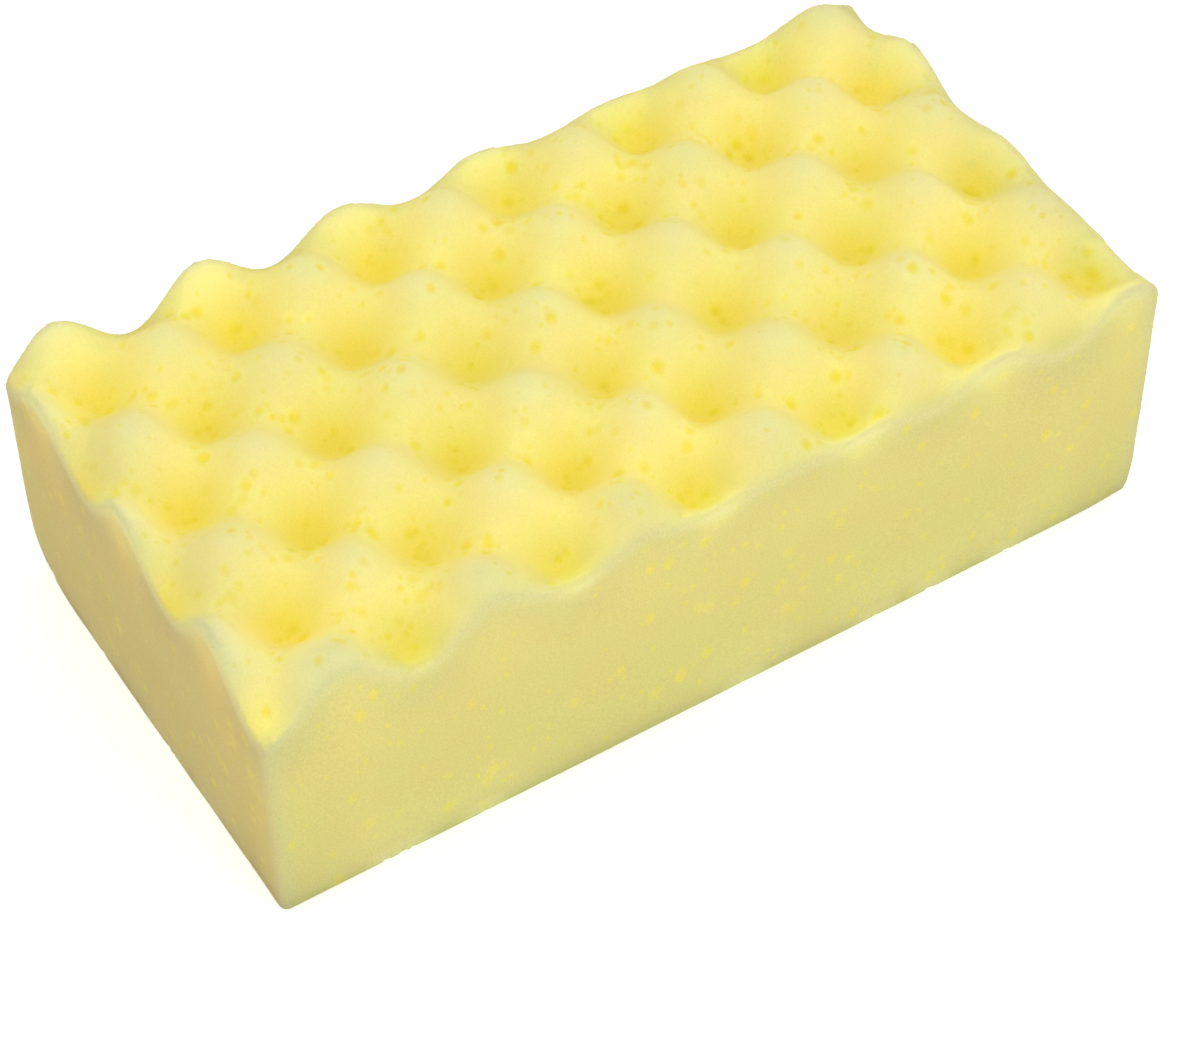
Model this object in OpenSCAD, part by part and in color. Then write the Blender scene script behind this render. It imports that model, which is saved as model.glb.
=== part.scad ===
// Cleaning sponge: one block of open-cell foam with a flat base, four flat cut
// sides and a convoluted top of round pits and crests, set like a chessboard.
// All sizes are millimetres. The block stands centred on the origin, with its
// length along X, its width along Y and its pits facing up.

/* [Block] */
// Length of the block
length = 230; // [120:1:320]
// Width of the block
width = 121; // [70:1:180]
// Height of the block at mid relief, at its low end
height = 65.3; // [35:0.1:110]
// How much higher the block is at its other end
rise = 1.7; // [0:0.1:5]

/* [Convoluted top] */
// Depth from the crests down to the pits
relief = 14.1; // [4:0.1:20]
// Distance between two pits of one row
pit_pitch = 36.7; // [24:0.1:60]
// Distance from one row of pits to the next
row_pitch = 19.55; // [14:0.05:40]
// Turn of the rows against the cut sides, in degrees
row_turn = 3; // [-10:0.1:10]
// First pit, measured from the low end
first_pit_x = 14.3; // [4:0.1:30]
// First pit, measured from the back side
first_pit_y = 18.7; // [4:0.1:30]
// Share by which the relief swells and fades over the top
unevenness = 0.1; // [0:0.01:0.25]

/* [Edges] */
// Radius of the four upright corners
corner_r = 1.3; // [1:0.1:12]
// Radius of the soft rim where the top meets the sides
rim_r = 1.5; // [0.5:0.1:4]
// Radius of the edge round the base
foot_r = 0.9; // [0.5:0.1:5]

/* [Hidden] */

foam_yellow = [0.95, 0.89, 0.52];

// Size of one cell of the top surface
cell = 2.8;
// Places of the first lines of the grid inside the rim, as shares of rim_r
rim_lines = [0, 0.3];
// Wall height at which each ring of points lies, as a share of the wall
wall_lines = [0.5, 1];
// Angles round the edge of the base
foot_lines = [30, 60, 90];

// Pits that sit off their place: lattice column and row, then the shift in
// millimetres to the right and to the back. Near a pit the lattice goes along.
strays = [
    [5, 3, 4, -1], [3, 3, 1.5, -1.5], [2, 4, -2, 1], [6, 4, -2.5, 0],
    [1, 1, -2.5, 0], [3, 5, 2, 0], [7, 5, 1, -1.5], [0, 0, 1, 1.5]
];
// Distance over which such a shift dies away
stray_reach = 10;

// A base edge can't be rounder than the upright corners leave room for
foot = min(foot_r, 0.8 * corner_r);

// Lines of the grid along a side of the given size, from 0 to the size
function grid_lines(size) =
    let (inner = size - 2 * rim_r, n = max(2, round(inner / cell)))
    concat(
        [for (s = rim_lines) s * rim_r],
        [for (k = [0:n]) rim_r + inner * k / n],
        [for (k = [len(rim_lines) - 1:-1:0]) size - rim_lines[k] * rim_r]
    );

xs = grid_lines(length);
ys = grid_lines(width);
nx = len(xs) - 1;
ny = len(ys) - 1;
around = 2 * (nx + ny);

// A point of the square grid, drawn in to the round of the upright corners
function nearest_core(p) = [
    max(-length / 2 + corner_r, min(length / 2 - corner_r, p.x)),
    max(-width / 2 + corner_r, min(width / 2 - corner_r, p.y))
];
function rounded(p) =
    let (core = nearest_core(p), d = p - core)
    (abs(d.x) < 0.0001 || abs(d.y) < 0.0001)
        ? p
        : core + d * max(abs(d.x), abs(d.y)) / norm(d);
function outward(p) = let (d = p - nearest_core(p)) d / norm(d);

// Place of the pit in a lattice column and row, without its own shift. Columns
// are half a pitch apart, and a pit lies wherever column plus row is even.
first_pit = [first_pit_x - length / 2, width / 2 - first_pit_y];
function lattice_place(column, row) =
    let (u = column * pit_pitch / 2, v = -row * row_pitch)
    first_pit + [
        u * cos(row_turn) - v * sin(row_turn),
        u * sin(row_turn) + v * cos(row_turn)
    ];
stray_places = [for (s = strays) lattice_place(s[0], s[1])];
function fade(d) = exp(-(d * d) / (2 * stray_reach * stray_reach));
function shift_at(p) =
    [for (k = [0:len(strays) - 1]) fade(norm(p - stray_places[k]))]
    * [for (s = strays) [s[2], s[3]]];

// Height of the top: mid relief less a chessboard of pits and crests
function swell(p) = 1 + unevenness * sin(4.7 * p.x + 40) * sin(6.1 * p.y - 1.9 * p.x);
function top_height(p) =
    let (
        q = p - shift_at(p) - first_pit,
        column = 2 * (q.x * cos(row_turn) + q.y * sin(row_turn)) / pit_pitch,
        row = (q.x * sin(row_turn) - q.y * cos(row_turn)) / row_pitch
    )
    height + rise * (p.x / length + 0.5)
        - relief / 2 * swell(p) * cos(180 * column) * cos(180 * row);

// How far the soft rim has dropped at a distance from the cut side
function rim_drop(d) =
    d >= rim_r ? 0 : rim_r - sqrt(rim_r * rim_r - (rim_r - d) * (rim_r - d));

function top_point(i, j) =
    let (
        p = rounded([xs[i] - length / 2, ys[j] - width / 2]),
        d = min(min(xs[i], length - xs[i]), min(ys[j], width - ys[j]))
    )
    [p.x, p.y, top_height(p) - rim_drop(d)];

// Grid index of a place round the outline, anticlockwise seen from above
function rim_cell(m) =
    m < nx ? [m, 0]
    : m < nx + ny ? [nx, m - nx]
    : m < 2 * nx + ny ? [2 * nx + ny - m, ny]
    : [0, around - m];

function top_index(i, j) = j * (nx + 1) + i;

// The block is its top grid, rings of points down the sides and round the base
// edge, and one point in the middle of the base
module foam_block() {
    top = [for (j = [0:ny]) for (i = [0:nx]) top_point(i, j)];
    rim = [for (m = [0:around - 1]) let (c = rim_cell(m)) top_index(c[0], c[1])];
    wall_rings = [
        for (t = wall_lines) for (r = rim)
            [top[r].x, top[r].y, top[r].z + (foot - top[r].z) * t]
    ];
    foot_rings = [
        for (a = foot_lines) for (r = rim)
            let (p = [top[r].x, top[r].y], q = p - outward(p) * foot * (1 - cos(a)))
            [q.x, q.y, foot * (1 - sin(a))]
    ];
    rings = len(wall_lines) + len(foot_lines);
    first = len(top);
    middle = first + rings * around;
    function ring_index(k, m) = k < 0 ? rim[m % around] : first + k * around + m % around;

    top_faces = [
        for (j = [0:ny - 1]) for (i = [0:nx - 1])
            let (
                a = top_index(i, j), b = top_index(i + 1, j),
                c = top_index(i + 1, j + 1), d = top_index(i, j + 1)
            )
            each (i + j) % 2 == 0 ? [[a, d, c], [a, c, b]] : [[a, d, b], [b, d, c]]
    ];
    side_faces = [
        for (k = [-1:rings - 2]) for (m = [0:around - 1])
            let (
                a = ring_index(k, m), b = ring_index(k, m + 1),
                c = ring_index(k + 1, m + 1), d = ring_index(k + 1, m)
            )
            each [[a, b, c], [a, c, d]]
    ];
    base_faces = [
        for (m = [0:around - 1])
            [ring_index(rings - 1, m), ring_index(rings - 1, m + 1), middle]
    ];

    color(foam_yellow)
        polyhedron(
            points = concat(top, wall_rings, foot_rings, [[0, 0, 0]]),
            faces = concat(top_faces, side_faces, base_faces),
            convexity = 6
        );
}

foam_block();
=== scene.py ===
"""A yellow foam cleaning sponge with a convoluted top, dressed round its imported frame."""

import math
import random

import bmesh
import bpy
import numpy as np
from bpy.props import FloatProperty, FloatVectorProperty, IntProperty, PointerProperty
from bpy.types import Operator, Panel, PropertyGroup
from mathutils import Matrix, Vector, noise
from mathutils.bvhtree import BVHTree
from mathutils.kdtree import KDTree


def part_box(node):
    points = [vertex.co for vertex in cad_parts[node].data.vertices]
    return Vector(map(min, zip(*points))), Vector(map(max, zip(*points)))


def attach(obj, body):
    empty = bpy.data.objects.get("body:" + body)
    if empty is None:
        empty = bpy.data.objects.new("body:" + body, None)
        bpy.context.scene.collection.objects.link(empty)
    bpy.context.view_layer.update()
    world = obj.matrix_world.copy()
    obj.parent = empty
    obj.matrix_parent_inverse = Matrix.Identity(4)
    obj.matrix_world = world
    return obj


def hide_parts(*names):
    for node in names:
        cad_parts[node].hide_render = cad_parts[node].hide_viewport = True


bl_info = {
    "name": "Foam cleaning sponge",
    "version": (1, 0, 0),
    "blender": (4, 5, 0),
    "location": "View3D > Sidebar > Sponge",
    "description": "Models, colours and lights a convoluted foam cleaning sponge",
    "category": "Mesh",
}

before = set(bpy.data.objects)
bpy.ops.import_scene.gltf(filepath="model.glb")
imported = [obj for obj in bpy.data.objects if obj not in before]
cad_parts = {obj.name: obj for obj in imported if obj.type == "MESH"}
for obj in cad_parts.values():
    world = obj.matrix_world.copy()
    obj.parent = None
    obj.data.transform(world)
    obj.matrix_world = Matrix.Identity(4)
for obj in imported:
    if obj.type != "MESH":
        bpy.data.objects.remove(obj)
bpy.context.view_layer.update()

BLOCK_NODE = "foam_block"
BLOCK_LOW, BLOCK_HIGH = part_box(BLOCK_NODE)
ROOT_BODY = "root"
PHOTO_WIDTH = 1200
SENSOR_WIDTH = 36.0

# Corners that the photo shows worn: which end and side, how far the foam is
# drawn in at the base, how far up the wall and how far along it this reaches
WORN_CORNERS = (
    (1, -1, 0.0012, 0.013, 0.009),
    (-1, 1, 0.0006, 0.045, 0.012),
    (-1, 1, 0.0016, 0.016, 0.010),
)

# Small nicks on the front edge of the base: place on the block and radius
NICKS = (
    (-0.0895, -0.0605, 0.0004, 0.0008),
    (-0.0851, -0.0605, 0.0005, 0.0009),
    (-0.0828, -0.0605, 0.0002, 0.0007),
    (0.0560, -0.0605, 0.0003, 0.0010),
    (0.0780, -0.0605, 0.0003, 0.0008),
)

# How near to an edge of the block a place counts as lying on it
EDGE_REACH = 0.0008
UPRIGHT_REACH = 0.0012

# Over this distance from a cut side the foam of the top turns into that of the side
CUT_BAND = (0.0002, 0.0012)

# Pores: how often a new cluster starts, how far from its middle the pores lie,
# how far off the skin a drawn place may fall, and how much of a bare edge is left
NEW_CLUSTER = 0.4
CLUSTER_REACH = (0.003, 0.014)
OFF_SKIN = 0.004
BARE_EDGE = 0.001

# Rim on the top against that on the sides, and its strength on upright edges
TOP_RIM_WIDTH = 0.7
UPRIGHT_RIM = 0.55

# Widths of the other bands of tint, as shares of the brink's width: painted shade near the ends
# and the upright edges, painted light at the foot
END_BAND = 1.3
CORNER_BAND = 1.2
FOOT_BAND = 0.4
WIDE_FOOT_BAND = 1.2
WIDE_FOOT_SHARE = 0.3

# By how much the bands of painted shade at the upper edge fade: on the crests and in the pits of
# the back half, and in the pits beside the left end
BACK_CREST_FADE = 0.7
BACK_PIT_FADE = 0.3
LEFT_PIT_FADE = 0.5
LEFT_PIT_REACH = (0.014, 0.004)
END_PIT_FADE = 0.8
END_PIT_REACH = (0.012, 0.004)
LEFT_DULL_REACH = 0.03

# The top is coloured as if it lay higher at the front left corner, so the pits there carry less
# of their painted shade
PALE_CORNER_LIFT = 0.55
PALE_CORNER_REACH = (0.036, 0.008)

# Slow and quick waves in which the skin strays, per metre, and the quick share
SLOW_WAVE = 28.0
QUICK_WAVE = 110.0
QUICK_SHARE = 0.35

# The marks take the pore colours: painted shade on the top, painted light on the cut sides
# Small marks drawn on the skin: cells per metre, how many of the cells hold
# one, and how strong they are on the top and on the cut sides
MARK_LAYERS = (
    (165.0, 0.85, 0.4, 1.0),
    (380.0, 0.35, 0.4, 0.7),
    (900.0, 0.3, 0.1, 0.35),
)
MARK_SIZE = 0.36
MARK_STRETCH = (1.0, 1.0, 0.7)

# Fine grain and slow mottle of the foam, in patches per metre
GRAIN_SCALE = 2000.0
MOTTLE_SCALE = 90.0
GREENER = (0.985, 1.0, 0.98, 1.0)
REDDER = (1.0, 0.98, 0.98, 1.0)
RIM_STRENGTH = 0.75

WHITE = (1.0, 1.0, 1.0, 1.0)
FLOOR_HALF = 4.0
LAMP_SIZE = 1.0


class FoamShape(PropertyGroup):
    """Sizes of the block's skin and its pores"""

    voxel: FloatProperty(
        name="Skin cell",
        description="Size of one face of the block's skin",
        default=0.0014,
        unit="LENGTH",
    )
    waver: FloatProperty(
        name="Waver",
        description="How far the skin strays in and out in slow waves",
        default=0.0003,
        unit="LENGTH",
    )
    rim_width: FloatProperty(
        name="Rim width",
        description="Width of the pale soft band along the edges",
        default=0.0042,
        unit="LENGTH",
    )
    # Width of the band of painted shade along the upper edge, on the top and the sides
    brink_width: FloatProperty(
        name="Brink width",
        description="Width of the duller foam on both sides of the upper edge",
        default=0.02,
        unit="LENGTH",
    )
    top_pores: IntProperty(
        name="Top pores",
        description="Number of modelled pores on the convoluted top",
        default=620,
    )
    side_pores: IntProperty(
        name="Side pores",
        description="Number of modelled pores on the four sides",
        default=230,
    )
    base_pores: IntProperty(
        name="Base pores",
        description="Number of modelled pores under the base",
        default=60,
    )
    pore_small: FloatProperty(
        name="Small pore",
        description="Radius of the smallest modelled pore",
        default=0.0009,
        unit="LENGTH",
    )
    pore_large: FloatProperty(
        name="Large pore",
        description="Radius of the largest modelled pore",
        default=0.0024,
        unit="LENGTH",
    )
    side_share: FloatProperty(
        name="Side pore share",
        description="Size of the pores of a cut side against those of the top",
        default=0.95,
    )
    seed: IntProperty(
        name="Seed",
        description="Start of the random draws that place the pores",
        default=11,
    )


class FoamFinish(PropertyGroup):
    """Colours and softness of the foam, with tints that paint shade and light on it"""

    # Crest, high slope, low slope and pit colour the top by height as painted shade: deeper, more
    # saturated yellow in the pits, paler on the crests
    crest: FloatVectorProperty(
        name="Crest",
        description="Colour of the crests",
        subtype="COLOR",
        default=(0.978, 0.933, 0.396),
    )
    high: FloatVectorProperty(
        name="High slope",
        description="Colour below the crests",
        subtype="COLOR",
        default=(0.95, 0.876, 0.318),
    )
    low: FloatVectorProperty(
        name="Low slope",
        description="Colour above the pits",
        subtype="COLOR",
        default=(0.945, 0.853, 0.24),
    )
    pit: FloatVectorProperty(
        name="Pit",
        description="Colour down in the pits",
        subtype="COLOR",
        default=(0.99, 0.85, 0.128),
    )
    side: FloatVectorProperty(
        name="Cut side",
        description="Colour of the two long cut sides and the base",
        subtype="COLOR",
        default=(0.828, 0.748, 0.249),
    )
    # Painted shade: the two cut ends are coloured darker and browner than the long sides
    end: FloatVectorProperty(
        name="Cut end",
        description="Colour of the two cut ends, a little browner",
        subtype="COLOR",
        default=(0.777, 0.634, 0.226),
    )
    # Painted light: the foot of each cut side is coloured paler, against the shade near the floor
    foot: FloatVectorProperty(
        name="Foot tint",
        description="Colour by which the foot of a cut side is paler",
        subtype="COLOR",
        default=(1.26, 1.27, 1.48),
    )
    # Soft rim: a pale greyish band along the edges, darker in red than the top and sides as
    # painted shade over the rounded edge
    rim: FloatVectorProperty(
        name="Soft rim",
        description="Colour of the soft rim along the edges",
        subtype="COLOR",
        default=(0.783, 0.742, 0.346),
    )
    # Painted shade: the top and the cut sides are darker near the upper edge
    edge_shade: FloatVectorProperty(
        name="Top brink tint",
        description="Colour by which the top is duller near its edge",
        subtype="COLOR",
        default=(0.895, 0.905, 0.97),
    )
    side_edge_shade: FloatVectorProperty(
        name="Side brink tint",
        description="Colour by which a cut side is duller near its upper edge",
        subtype="COLOR",
        default=(0.86, 0.885, 1.05),
    )
    # Painted shade: the pits near the upper edge are darker
    pit_edge_shade: FloatVectorProperty(
        name="Sunk brink tint",
        description="Colour by which the pits near the edge are duller",
        subtype="COLOR",
        default=(0.77, 0.84, 1.06),
    )
    # Painted shade: the top is darker near the two ends
    end_shade: FloatVectorProperty(
        name="End brink tint",
        description="Colour by which the top is duller near the two ends",
        subtype="COLOR",
        default=(0.93, 0.94, 1.08),
    )
    # Painted shade: the cut sides are darker near the upright edges
    corner: FloatVectorProperty(
        name="Corner tint",
        description="Colour by which a cut side is duller near its upright edges",
        subtype="COLOR",
        default=(0.86, 0.87, 0.92),
    )
    # Painted shade: the pores of the top are coloured a deeper yellow inside
    pore: FloatVectorProperty(
        name="Top pore",
        description="Colour down in the pores of the top",
        subtype="COLOR",
        default=(0.90, 0.77, 0.03),
    )
    # Painted light: the pores of the cut sides are coloured brighter inside, as if lit from above
    side_pore: FloatVectorProperty(
        name="Side pore",
        description="Colour down in the pores of the cut sides",
        subtype="COLOR",
        default=(0.92, 0.81, 0.14),
    )
    fuzz: FloatProperty(
        name="Fuzz",
        description="How strongly the fine fuzz of the foam shows at a flat angle",
        default=0.12,
    )
    glow_depth: FloatProperty(
        name="Glow depth",
        description="How deep light wanders in the foam",
        default=0.04,
        unit="LENGTH",
    )


class StudioLook(PropertyGroup):
    """Floor, lamp and camera of the studio"""

    floor: FloatVectorProperty(
        name="Floor",
        description="Colour of the floor",
        subtype="COLOR",
        default=(0.95, 0.95, 0.95),
    )
    floor_lift: FloatProperty(
        name="Floor lift",
        description="How much the camera sees the floor lightened, its shadow kept",
        default=0.45,
    )
    world_light: FloatProperty(
        name="World light",
        description="Strength of the white surroundings",
        default=0.73,
    )
    lamp_power: FloatProperty(
        name="Lamp",
        description="Power of the large soft lamp in front",
        default=4.95,
        unit="POWER",
    )
    lamp_place: FloatVectorProperty(
        name="Lamp place",
        description="Where the lamp stands",
        subtype="TRANSLATION",
        default=(0.15, -1.5, 0.75),
    )
    camera_place: FloatVectorProperty(
        name="Camera",
        description="Where the camera stands",
        subtype="TRANSLATION",
        default=(-0.29387, -0.48198, 0.63856),
    )
    camera_aim: FloatVectorProperty(
        name="Aim",
        description="Point that the camera looks at",
        subtype="TRANSLATION",
        default=(-0.01395, -0.02848, 0.033),
    )
    camera_roll: FloatProperty(
        name="Roll",
        description="Turn of the camera about its view, anticlockwise",
        default=math.radians(-0.609),
        subtype="ANGLE",
    )
    focal_pixels: FloatProperty(
        name="Focal length",
        description="Focal length in pixels of the full picture",
        default=3600.7,
    )


def smooth_step(low, high, value):
    """0 below low, 1 above high and a smooth blend between"""
    t = np.clip((value - low) / (high - low), 0.0, 1.0)
    return t * t * (3.0 - 2.0 * t)


def distance_across(co):
    """Distance from each place to the nearest cut side"""
    return np.minimum(
        np.minimum(co[:, 0] - BLOCK_LOW.x, BLOCK_HIGH.x - co[:, 0]),
        np.minimum(co[:, 1] - BLOCK_LOW.y, BLOCK_HIGH.y - co[:, 1]),
    )


def block_copy():
    """A closed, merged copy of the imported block, as a new object"""
    bm = bmesh.new()
    bm.from_mesh(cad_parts[BLOCK_NODE].data)
    bmesh.ops.remove_doubles(bm, verts=bm.verts, dist=1e-6)
    mesh = bpy.data.meshes.new("sponge_foam")
    bm.to_mesh(mesh)
    bm.free()
    piece = bpy.data.objects.new("sponge_foam", mesh)
    bpy.context.scene.collection.objects.link(piece)
    return piece


def even_skin(piece, voxel):
    """Gives the block a skin of even quads, laid back on its own faces"""
    block = bmesh.new()
    block.from_mesh(piece.data)
    faces = BVHTree.FromBMesh(block)
    remesh = piece.modifiers.new("even_skin", "REMESH")
    remesh.mode = "VOXEL"
    remesh.voxel_size = voxel
    depsgraph = bpy.context.evaluated_depsgraph_get()
    even = bpy.data.meshes.new_from_object(piece.evaluated_get(depsgraph))
    piece.modifiers.remove(remesh)
    for vert in even.vertices:
        vert.co = faces.find_nearest(vert.co)[0]
    block.free()
    old = piece.data
    piece.data = even
    bpy.data.meshes.remove(old)


def relief_of(bm):
    """Plane through the middle of the relief, and half the relief"""
    top = np.array([v.co for v in bm.verts if v.normal.z > 0.5])
    plan = np.column_stack([top[:, 0], top[:, 1], np.ones(len(top))])
    plane = np.linalg.lstsq(plan, top[:, 2], rcond=None)[0]
    rest = top[:, 2] - plan @ plane
    return plane, (rest.max() - rest.min()) / 2.0


def lift_of(co, relief):
    """How high places lie in the relief: -1 in a pit and 1 on a crest"""
    plane, half = relief
    middle = co[:, 0] * plane[0] + co[:, 1] * plane[1] + plane[2]
    return np.clip((co[:, 2] - middle) / half, -1.0, 1.0)


class Pore:
    """One hollow left by a bubble: its place, its way in, its size and its tone"""

    def __init__(self, place, inward, radius, depth, tall, tone):
        self.place = place
        self.inward = inward
        self.radius = radius
        self.depth = depth
        self.tall = tall
        self.tone = tone

    def reach(self):
        return self.radius * self.tall * 1.1

    def distance(self, point):
        """Distance in radii, with tall pores drawn out upwards"""
        offset = point - self.place
        offset = offset - self.inward * offset.dot(self.inward)
        offset.z /= self.tall
        return offset.length / self.radius

    def fall(self, point):
        """How far the skin falls in at a point: a soft round bowl"""
        d = self.distance(point)
        return self.depth * (1.0 - d * d) if d < 1.0 else 0.0


def face_side(normal):
    """Says top, side or base, by the way that a face looks"""
    if normal.z > 0.35:
        return "top"
    return "base" if normal.z < -0.7 else "side"


def tree_of(places):
    tree = KDTree(len(places))
    for k, place in enumerate(places):
        tree.insert(place, k)
    tree.balance()
    return tree


def edge_parts(bm):
    """Places of all vertices, and which lie on the upper, lower and upright edges"""
    co = np.array([v.co for v in bm.verts])
    across = distance_across(co)
    end = np.minimum(co[:, 0] - BLOCK_LOW.x, BLOCK_HIGH.x - co[:, 0])
    flank = np.minimum(co[:, 1] - BLOCK_LOW.y, BLOCK_HIGH.y - co[:, 1])
    up = np.array([v.normal.z for v in bm.verts])
    upper = (across < EDGE_REACH) & (up > 0.25)
    lower = (across < EDGE_REACH) & (co[:, 2] < EDGE_REACH)
    upright = (end < UPRIGHT_REACH) & (flank < UPRIGHT_REACH)
    return co, upper, lower, upright


def scatter_pores(bm, shape, relief):
    """Draws pores over the skin, big ones rare, many in clusters, few on the crests"""
    draw = random.Random(shape.seed)
    wanted = {"top": shape.top_pores, "side": shape.side_pores, "base": shape.base_pores}
    faces = {"top": [], "side": [], "base": []}
    for face in bm.faces:
        faces[face_side(face.normal)].append(face)
    co, upper, lower, upright = edge_parts(bm)
    edges = tree_of([Vector(place) for place in co[upper | lower | upright]])
    span = shape.pore_large - shape.pore_small
    pores = []
    for side, members in faces.items():
        tree = tree_of([face.calc_center_median() for face in members])
        share = 1.0 if side == "top" else shape.side_share
        centre = None
        placed = 0
        while placed < wanted[side]:
            if centre is None or draw.random() < NEW_CLUSTER:
                centre = draw.choice(members).calc_center_median()
            turn = Vector([draw.gauss(0, 1) for _ in range(3)]).normalized()
            _, index, off = tree.find(centre + turn * draw.uniform(*CLUSTER_REACH))
            if off > OFF_SKIN:
                continue
            face = members[index]
            place = face.calc_center_median()
            big = draw.random() ** 1.8
            radius = share * (shape.pore_small + span * big)
            tall = draw.uniform(1.05, 1.4) if side == "side" else draw.uniform(0.95, 1.15)
            crest = smooth_step(-0.3, 0.9, lift_of(np.array([place]), relief)[0])
            too_high = side == "top" and draw.random() < 0.75 * crest
            too_steep = side == "top" and face.normal.z < 0.8
            too_near = edges.find(place)[2] < radius * tall + BARE_EDGE
            if too_high or too_steep or too_near:
                continue
            depth = radius * draw.uniform(0.12, 0.3)
            tone = draw.uniform(0.35, 0.8) + 0.2 * big
            pores.append(Pore(place, -face.normal.copy(), radius, depth, tall, tone))
            placed += 1
    return pores


def nicks_on(bm):
    """The nicks on the edges, each a small untinted pore"""
    tree = tree_of([face.calc_center_median() for face in bm.faces])
    bm.faces.ensure_lookup_table()
    nicks = []
    for x, y, z, radius in NICKS:
        place = Vector((x, y, z))
        face = bm.faces[tree.find(place)[1]]
        nicks.append(Pore(place, -face.normal.copy(), radius, radius * 0.9, 1.0, 0.0))
    return nicks


def refine_under(bm, pores, cuts):
    """Cuts the skin finer where a pore will lie"""
    bm.faces.ensure_lookup_table()
    tree = tree_of([face.calc_center_median() for face in bm.faces])
    edges = set()
    for pore in pores:
        for _, index, _ in tree.find_range(pore.place, pore.reach() + 0.0007):
            edges.update(bm.faces[index].edges)
    bmesh.ops.subdivide_edges(
        bm, edges=sorted(edges, key=lambda e: e.index), cuts=cuts, use_grid_fill=True
    )
    wide = [face for face in bm.faces if len(face.verts) > 4]
    bmesh.ops.triangulate(bm, faces=wide, quad_method="BEAUTY", ngon_method="BEAUTY")


def press_pores(bm, pores):
    """Sinks each pore into the skin and returns how deep each vertex lies in one"""
    bm.verts.ensure_lookup_table()
    tree = tree_of([vert.co for vert in bm.verts])
    fall = {}
    tone = np.zeros(len(bm.verts))
    for pore in pores:
        for _, index, _ in tree.find_range(pore.place, pore.reach() + 0.0004):
            d = pore.distance(bm.verts[index].co)
            tone[index] = max(tone[index], pore.tone * smooth_step(0.0, 1.0, 1.1 - d))
            sink = pore.fall(bm.verts[index].co)
            if sink > fall.get(index, (0.0, None))[0]:
                fall[index] = (sink, pore.inward)
    for index, (sink, inward) in fall.items():
        bm.verts[index].co += inward * sink
    return tone


def let_waver(bm, waver):
    """Lets the cut skin stray in and out a little, as a blade leaves it"""
    moves = []
    for vert in bm.verts:
        slow = noise.noise(vert.co * SLOW_WAVE)
        quick = noise.noise(vert.co * QUICK_WAVE + Vector((7.0, 3.0, 5.0)))
        moves.append(vert.normal * waver * (slow + QUICK_SHARE * quick))
    for vert, move in zip(bm.verts, moves):
        if vert.co.z > 0.001:
            vert.co += move


def wear_corners(bm):
    """Draws the worn corners in, most of all at the base"""
    for end, side, inward, up, along in WORN_CORNERS:
        corner_x = BLOCK_HIGH.x if end > 0 else BLOCK_LOW.x
        corner_y = BLOCK_HIGH.y if side > 0 else BLOCK_LOW.y
        for vert in bm.verts:
            height = 1.0 - vert.co.z / up
            if height <= 0.0:
                continue
            away = math.hypot(vert.co.x - corner_x, vert.co.y - corner_y) / along
            draw_in = inward * height * height * math.exp(-away * away)
            vert.co.x -= end * draw_in * 0.7
            vert.co.y -= side * draw_in * 0.7


def nearness(co, members, width):
    """1 on the given vertices, falling to 0 at a width away from them"""
    tree = tree_of([Vector(place) for place in co[members]])
    away = np.array([tree.find(place)[2] for place in co])
    return 1.0 - smooth_step(0.0, width, away)


def write_attribute(mesh, name, values):
    attribute = mesh.attributes.new(name, "FLOAT", "POINT")
    attribute.data.foreach_set("value", np.asarray(values, dtype=np.float32))


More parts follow.
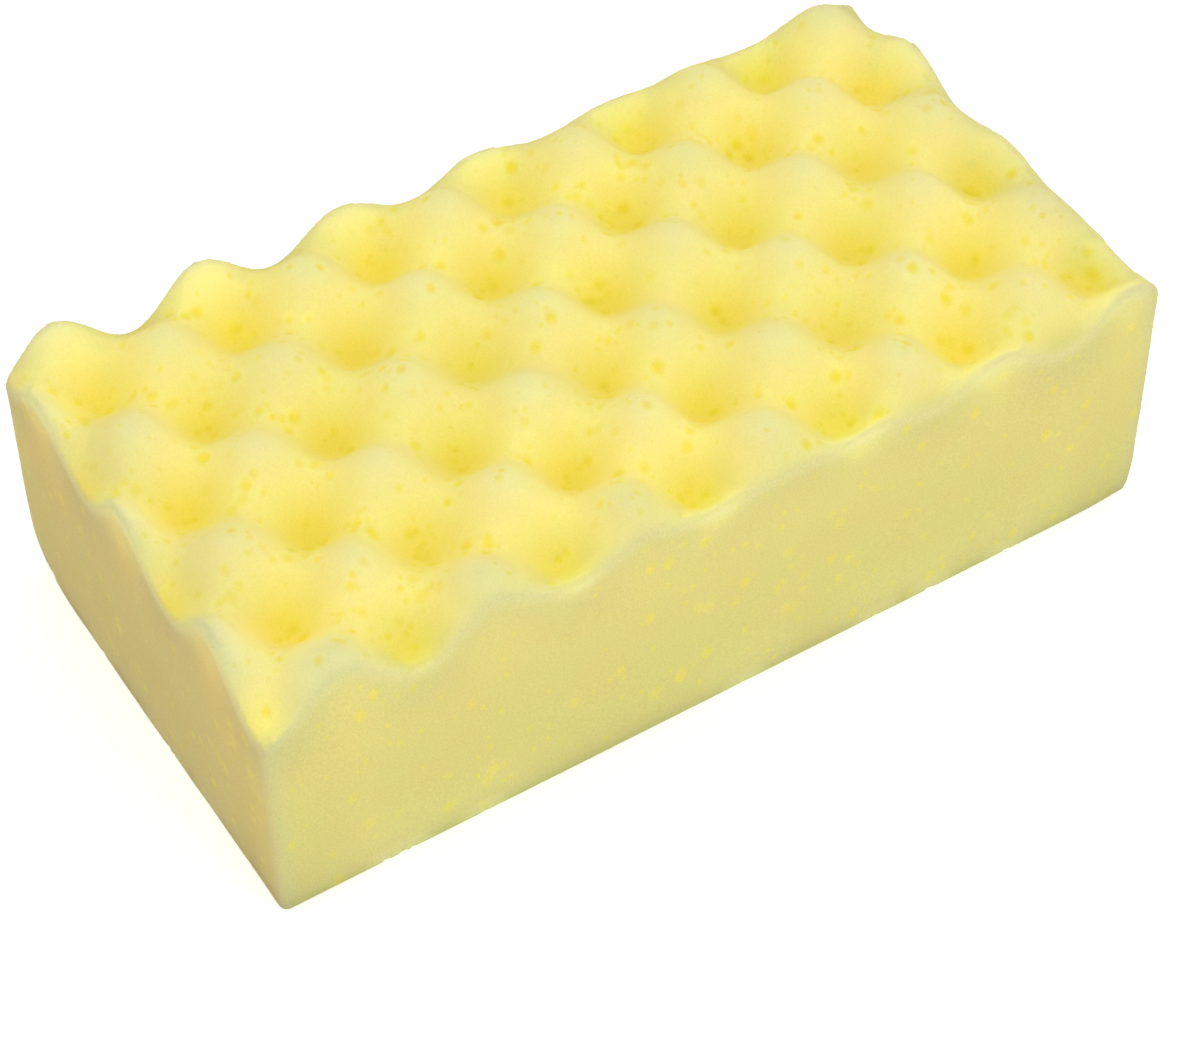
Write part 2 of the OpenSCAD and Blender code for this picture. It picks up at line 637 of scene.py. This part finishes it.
def foam_marks(bm, shape, relief):
    """How strongly each colour and tint of the foam shows on each vertex"""
    co, upper, lower, upright = edge_parts(bm)
    normals = np.array([v.normal for v in bm.verts])
    from_left = co[:, 0] - BLOCK_LOW.x
    from_front = co[:, 1] - BLOCK_LOW.y
    from_ends = np.minimum(from_left, BLOCK_HIGH.x - co[:, 0])
    back_half = co[:, 1] > 0.0
    lift = lift_of(co, relief)

    # The cut sides and the base against the top, and the pits of the top
    inside = smooth_step(*CUT_BAND, distance_across(co))
    cut = np.maximum((1.0 - inside) * smooth_step(0.75, 0.2, normals[:, 2]), normals[:, 2] < -0.5)
    top = 1.0 - cut
    sunk = smooth_step(0.3, -0.8, lift) * top

    top_rim = nearness(co, upper, TOP_RIM_WIDTH * shape.rim_width) * smooth_step(-1.2, 0.6, lift)
    side_rim = nearness(co, upper, shape.rim_width)
    upright_rim = UPRIGHT_RIM * nearness(co, upright, shape.rim_width)

    # Bands of painted shade along the upper edge, weaker on the back half and beside the left end
    edge_shade = nearness(co, upper, shape.brink_width)
    edge_shade *= 1.0 - BACK_CREST_FADE * top * smooth_step(0.0, 0.8, lift) * back_half
    # Painted shade in the pits near the upper edge, growing away from the left end
    pit_edge_shade = edge_shade * sunk * smooth_step(0.0, LEFT_DULL_REACH, from_left)
    pit_edge_shade *= 1.0 - BACK_PIT_FADE * back_half
    edge_shade *= 1.0 - LEFT_PIT_FADE * sunk * smooth_step(*LEFT_PIT_REACH, from_left)
    # Painted shade on the top near the two ends, weaker in the pits beside the left end
    end_shade = smooth_step(END_BAND * shape.brink_width, 0.0, from_ends) * top
    end_shade *= 1.0 - END_PIT_FADE * sunk * smooth_step(*END_PIT_REACH, from_left)

    # Painted shade darkens the cut sides near the upright edges, most of all low down
    corner = nearness(co, upright, CORNER_BAND * shape.brink_width) * cut
    corner *= 0.5 + 0.5 * smooth_step(BLOCK_HIGH.z, BLOCK_LOW.z, co[:, 2])

    # Painted light at the foot of each side, in a narrow and a wide band
    foot = nearness(co, lower, FOOT_BAND * shape.brink_width)
    wide_foot = WIDE_FOOT_SHARE * nearness(co, lower, WIDE_FOOT_BAND * shape.brink_width)
    # Less painted shade in the pits at the front left corner
    near_pale_corner = smooth_step(*PALE_CORNER_REACH, np.hypot(from_left, from_front))
    return {
        "lift": lift + PALE_CORNER_LIFT * near_pale_corner,
        "cut": cut,
        "end": smooth_step(0.5, 0.9, np.abs(normals[:, 0])),
        "rim": np.maximum(cut * side_rim + top * top_rim, upright_rim),
        "edge_shade": edge_shade,
        "pit_edge_shade": pit_edge_shade,
        "end_shade": end_shade,
        "foot": np.maximum(foot, wide_foot),
        "corner": corner,
    }


class SPONGE_OT_foam_block(Operator):
    """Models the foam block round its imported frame"""

    bl_idname = "sponge.foam_block"
    bl_label = "Foam block"

    def execute(self, context):
        shape = context.scene.sponge_shape
        piece = block_copy()
        even_skin(piece, shape.voxel)
        bm = bmesh.new()
        bm.from_mesh(piece.data)
        bm.normal_update()
        relief = relief_of(bm)
        pores = scatter_pores(bm, shape, relief) + nicks_on(bm)
        refine_under(bm, pores, 1)
        bm.normal_update()
        marks = foam_marks(bm, shape, relief)
        marks["pore"] = press_pores(bm, pores)
        let_waver(bm, shape.waver)
        wear_corners(bm)
        for face in bm.faces:
            face.smooth = True
        bm.to_mesh(piece.data)
        bm.free()
        for name, values in marks.items():
            write_attribute(piece.data, name, values)
        piece.data.materials.clear()
        piece.data.materials.append(foam_material(context.scene.sponge_finish))
        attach(piece, ROOT_BODY)
        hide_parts(BLOCK_NODE)
        return {"FINISHED"}


class NodeKit:
    """Short calls for the nodes of one material"""

    def __init__(self, material):
        material.use_nodes = True
        self.nodes = material.node_tree.nodes
        self.links = material.node_tree.links
        self.shader = self.nodes["Principled BSDF"]

    def put(self, socket, value):
        if hasattr(value, "is_linked"):
            self.links.new(value, socket)
        else:
            socket.default_value = value

    def attribute(self, name):
        node = self.nodes.new("ShaderNodeAttribute")
        node.attribute_name = name
        return node.outputs["Fac"]

    def math(self, operation, *values):
        node = self.nodes.new("ShaderNodeMath")
        node.operation = operation
        for socket, value in zip(node.inputs, values):
            self.put(socket, value)
        return node.outputs[0]

    def span(self, value, low, high, to_low=0.0, to_high=1.0):
        node = self.nodes.new("ShaderNodeMapRange")
        node.interpolation_type = "SMOOTHSTEP"
        self.put(node.inputs["Value"], value)
        node.inputs["From Min"].default_value = low
        node.inputs["From Max"].default_value = high
        node.inputs["To Min"].default_value = to_low
        node.inputs["To Max"].default_value = to_high
        return node.outputs["Result"]

    def blend(self, factor, first, second, mode="MIX"):
        node = self.nodes.new("ShaderNodeMix")
        node.data_type = "RGBA"
        node.blend_type = mode
        self.put(node.inputs[0], factor)
        self.put(node.inputs[6], first)
        self.put(node.inputs[7], second)
        return node.outputs[2]

    def places(self, stretch=(1.0, 1.0, 1.0)):
        where = self.nodes.new("ShaderNodeTexCoord")
        turn = self.nodes.new("ShaderNodeMapping")
        turn.inputs["Scale"].default_value = stretch
        self.links.new(where.outputs["Object"], turn.inputs["Vector"])
        return turn.outputs["Vector"]

    def tint(self, base, share, values):
        """The colour multiplied by a tint, as far as the share goes"""
        return self.blend(share, base, self.blend(1.0, base, values, "MULTIPLY"))

    def grain(self, places, scale, detail=2.0):
        node = self.nodes.new("ShaderNodeTexNoise")
        node.inputs["Scale"].default_value = scale
        node.inputs["Detail"].default_value = detail
        self.links.new(places, node.inputs["Vector"])
        return node.outputs["Fac"]

    def bubbles(self, places, scale, share, size):
        """Small soft round marks: a share of the cells of a lattice holds one each"""
        cells = self.nodes.new("ShaderNodeTexVoronoi")
        cells.inputs["Scale"].default_value = scale
        self.links.new(places, cells.inputs["Vector"])
        split = self.nodes.new("ShaderNodeSeparateColor")
        self.links.new(cells.outputs["Color"], split.inputs["Color"])
        chosen = self.math("LESS_THAN", split.outputs[0], share)
        width = self.math("MULTIPLY_ADD", split.outputs[1], size * 0.6, size * 0.4)
        mark = self.span(self.math("DIVIDE", cells.outputs["Distance"], width), 1.0, 0.2)
        return self.math("MULTIPLY", mark, chosen)


def colour(values):
    return (*values, 1.0)


def foam_colour(kit, finish, holes, specks):
    """The foam's colour: by height on the top as painted shade in the pits, plainer on the cut
    sides, with bands of painted shade and light
    """
    lift = kit.attribute("lift")
    cut = kit.attribute("cut")
    # Painted shade by height on the top: deeper, more saturated yellow in the pits, paler on the
    # crests
    top = kit.blend(kit.span(lift, -0.25, -0.95), colour(finish.low), colour(finish.pit))
    top = kit.blend(kit.span(lift, -0.4, 0.4), top, colour(finish.high))
    top = kit.blend(kit.span(lift, 0.35, 1.0), top, colour(finish.crest))
    # The ends take their darker, browner colour of painted shade
    side = kit.blend(kit.attribute("end"), colour(finish.side), colour(finish.end))
    base = kit.blend(cut, top, side)
    # Pores and small marks in the pore colours: painted shade on the top, painted light on the
    # cut sides
    deep = kit.blend(cut, colour(finish.pore), colour(finish.side_pore))
    strength = kit.span(cut, 0.0, 1.0, 0.9, 0.85)
    strength = kit.math("MULTIPLY", strength, kit.span(kit.attribute("end"), 0.0, 1.0, 1.0, 0.6))
    base = kit.blend(kit.math("MULTIPLY", holes, strength), base, deep)
    # Painted shade near the upper edge, in the pits near it and near the two ends
    edge_shade = kit.blend(cut, colour(finish.edge_shade), colour(finish.side_edge_shade))
    base = kit.tint(base, kit.attribute("edge_shade"), edge_shade)
    base = kit.tint(base, kit.attribute("pit_edge_shade"), colour(finish.pit_edge_shade))
    base = kit.tint(base, kit.attribute("end_shade"), colour(finish.end_shade))
    # Soft rim: pale greyish, and darker in red as painted shade over the rounded edge
    rim = kit.math("MULTIPLY", kit.attribute("rim"), RIM_STRENGTH)
    base = kit.blend(rim, base, colour(finish.rim))
    # Painted light: paler at the foot of each side
    base = kit.tint(base, kit.attribute("foot"), colour(finish.foot))
    # Painted shade near the upright edges
    base = kit.tint(base, kit.attribute("corner"), colour(finish.corner))
    hue = kit.span(kit.grain(kit.places(), MOTTLE_SCALE), 0.35, 0.65)
    mottle = kit.blend(hue, GREENER, REDDER)
    base = kit.blend(1.0, base, mottle, "MULTIPLY")
    top_shade = kit.span(specks, 0.3, 0.7, 0.97, 1.012)
    side_shade = kit.span(specks, 0.3, 0.7, 0.94, 1.025)
    return kit.blend(1.0, base, kit.blend(cut, top_shade, side_shade), "MULTIPLY")


def foam_material(finish):
    """The foam's finish, written in nodes"""
    material = bpy.data.materials.new("yellow_foam")
    kit = NodeKit(material)
    cut = kit.attribute("cut")
    tall_places = kit.places(MARK_STRETCH)
    holes = kit.attribute("pore")
    for scale, share, on_top, on_cut in MARK_LAYERS:
        marks = kit.bubbles(tall_places, scale, share, MARK_SIZE)
        marks = kit.math("MULTIPLY", marks, kit.span(cut, 0.0, 1.0, on_top, on_cut))
        holes = kit.math("MAXIMUM", holes, marks)
    specks = kit.grain(kit.places(), GRAIN_SCALE)
    kit.put(kit.shader.inputs["Base Color"], foam_colour(kit, finish, holes, specks))

    relief = kit.math("MULTIPLY_ADD", holes, -0.6, kit.math("MULTIPLY", specks, 0.35))
    bump = kit.nodes.new("ShaderNodeBump")
    bump.inputs["Strength"].default_value = 0.4
    bump.inputs["Distance"].default_value = 0.0004
    kit.links.new(relief, bump.inputs["Height"])
    kit.links.new(bump.outputs["Normal"], kit.shader.inputs["Normal"])

    shader = kit.shader
    shader.subsurface_method = "BURLEY"
    shader.inputs["Roughness"].default_value = 0.95
    shader.inputs["Specular IOR Level"].default_value = 0.1
    shader.inputs["Sheen Weight"].default_value = finish.fuzz
    shader.inputs["Sheen Roughness"].default_value = 0.6
    shader.inputs["Sheen Tint"].default_value = (1.0, 0.98, 0.85, 1.0)
    shader.inputs["Subsurface Weight"].default_value = 1.0
    shader.inputs["Subsurface Scale"].default_value = finish.glow_depth
    shader.inputs["Subsurface Radius"].default_value = (1.0, 0.75, 0.3)
    return material


def look_at(place, aim, roll):
    """World matrix of a lamp or camera at a place, turned to an aim"""
    back = (Vector(place) - Vector(aim)).normalized()
    right = Vector((0.0, 0.0, 1.0)).cross(back).normalized()
    up = back.cross(right)
    turned = Matrix((right, up, back)).transposed() @ Matrix.Rotation(roll, 3, "Z")
    return Matrix.Translation(Vector(place)) @ turned.to_4x4()


def add_lamp(name, place, aim, size, power):
    """A square soft lamp turned to its aim"""
    data = bpy.data.lights.new(name, "AREA")
    data.shape = "SQUARE"
    data.size = size
    data.energy = power
    lamp = bpy.data.objects.new(name, data)
    lamp.matrix_world = look_at(place, aim, 0.0)
    bpy.context.scene.collection.objects.link(lamp)


def floor_material(look):
    """A pale floor that the camera sees as white, with its shadow kept"""
    material = bpy.data.materials.new("pale_floor")
    kit = NodeKit(material)
    shader = kit.shader
    shader.inputs["Base Color"].default_value = colour(look.floor)
    shader.inputs["Roughness"].default_value = 1.0
    shader.inputs["Specular IOR Level"].default_value = 0.0
    shader.inputs["Emission Color"].default_value = WHITE
    path = kit.nodes.new("ShaderNodeLightPath")
    lift = kit.math("MULTIPLY", path.outputs["Is Camera Ray"], look.floor_lift)
    kit.put(shader.inputs["Emission Strength"], lift)
    return material


def white_world(look):
    """White surroundings, seen at full white by the camera"""
    world = bpy.data.worlds.new("studio")
    world.use_nodes = True
    nodes = world.node_tree.nodes
    links = world.node_tree.links
    background = nodes["Background"]
    background.inputs["Color"].default_value = WHITE
    path = nodes.new("ShaderNodeLightPath")
    strength = nodes.new("ShaderNodeMapRange")
    strength.inputs["To Min"].default_value = look.world_light
    strength.inputs["To Max"].default_value = 1.0
    links.new(path.outputs["Is Camera Ray"], strength.inputs["Value"])
    links.new(strength.outputs["Result"], background.inputs["Strength"])
    return world


class SPONGE_OT_studio(Operator):
    """Lays the floor, hangs the lamp and sets up the camera"""

    bl_idname = "sponge.studio"
    bl_label = "Studio"

    def execute(self, context):
        scene = context.scene
        look = scene.sponge_studio
        scene.view_settings.view_transform = "Standard"
        scene.world = white_world(look)

        bm = bmesh.new()
        bmesh.ops.create_grid(bm, x_segments=1, y_segments=1, size=FLOOR_HALF)
        mesh = bpy.data.meshes.new("studio_floor")
        bm.to_mesh(mesh)
        bm.free()
        mesh.materials.append(floor_material(look))
        floor = bpy.data.objects.new("studio_floor", mesh)
        scene.collection.objects.link(floor)

        middle = (BLOCK_LOW + BLOCK_HIGH) / 2
        add_lamp("front_lamp", look.lamp_place, middle, LAMP_SIZE, look.lamp_power)

        data = bpy.data.cameras.new("camera")
        data.sensor_fit = "HORIZONTAL"
        data.sensor_width = SENSOR_WIDTH
        data.lens = look.focal_pixels / PHOTO_WIDTH * SENSOR_WIDTH
        camera = bpy.data.objects.new("camera", data)
        camera.matrix_world = look_at(look.camera_place, look.camera_aim, look.camera_roll)
        scene.collection.objects.link(camera)
        scene.camera = camera
        return {"FINISHED"}


class SPONGE_PT_panel(Panel):
    """Lists the sponge's piece and its studio"""

    bl_idname = "SPONGE_PT_panel"
    bl_label = "Cleaning sponge"
    bl_space_type = "VIEW_3D"
    bl_region_type = "UI"
    bl_category = "Sponge"

    def draw(self, context):
        scene = context.scene
        for group, operator in (
            (scene.sponge_shape, SPONGE_OT_foam_block),
            (scene.sponge_finish, None),
            (scene.sponge_studio, SPONGE_OT_studio),
        ):
            box = self.layout.box()
            for name in group.bl_rna.properties.keys():
                if name not in {"rna_type", "name"}:
                    box.prop(group, name)
            if operator:
                box.operator(operator.bl_idname)


CLASSES = (
    FoamShape,
    FoamFinish,
    StudioLook,
    SPONGE_OT_foam_block,
    SPONGE_OT_studio,
    SPONGE_PT_panel,
)


def register():
    for cls in CLASSES:
        bpy.utils.register_class(cls)
    bpy.types.Scene.sponge_shape = PointerProperty(type=FoamShape)
    bpy.types.Scene.sponge_finish = PointerProperty(type=FoamFinish)
    bpy.types.Scene.sponge_studio = PointerProperty(type=StudioLook)


def unregister():
    del bpy.types.Scene.sponge_studio
    del bpy.types.Scene.sponge_finish
    del bpy.types.Scene.sponge_shape
    for cls in reversed(CLASSES):
        bpy.utils.unregister_class(cls)


def main():
    register()
    bpy.ops.sponge.foam_block()
    bpy.ops.sponge.studio()


if __name__ == "__main__":
    main()
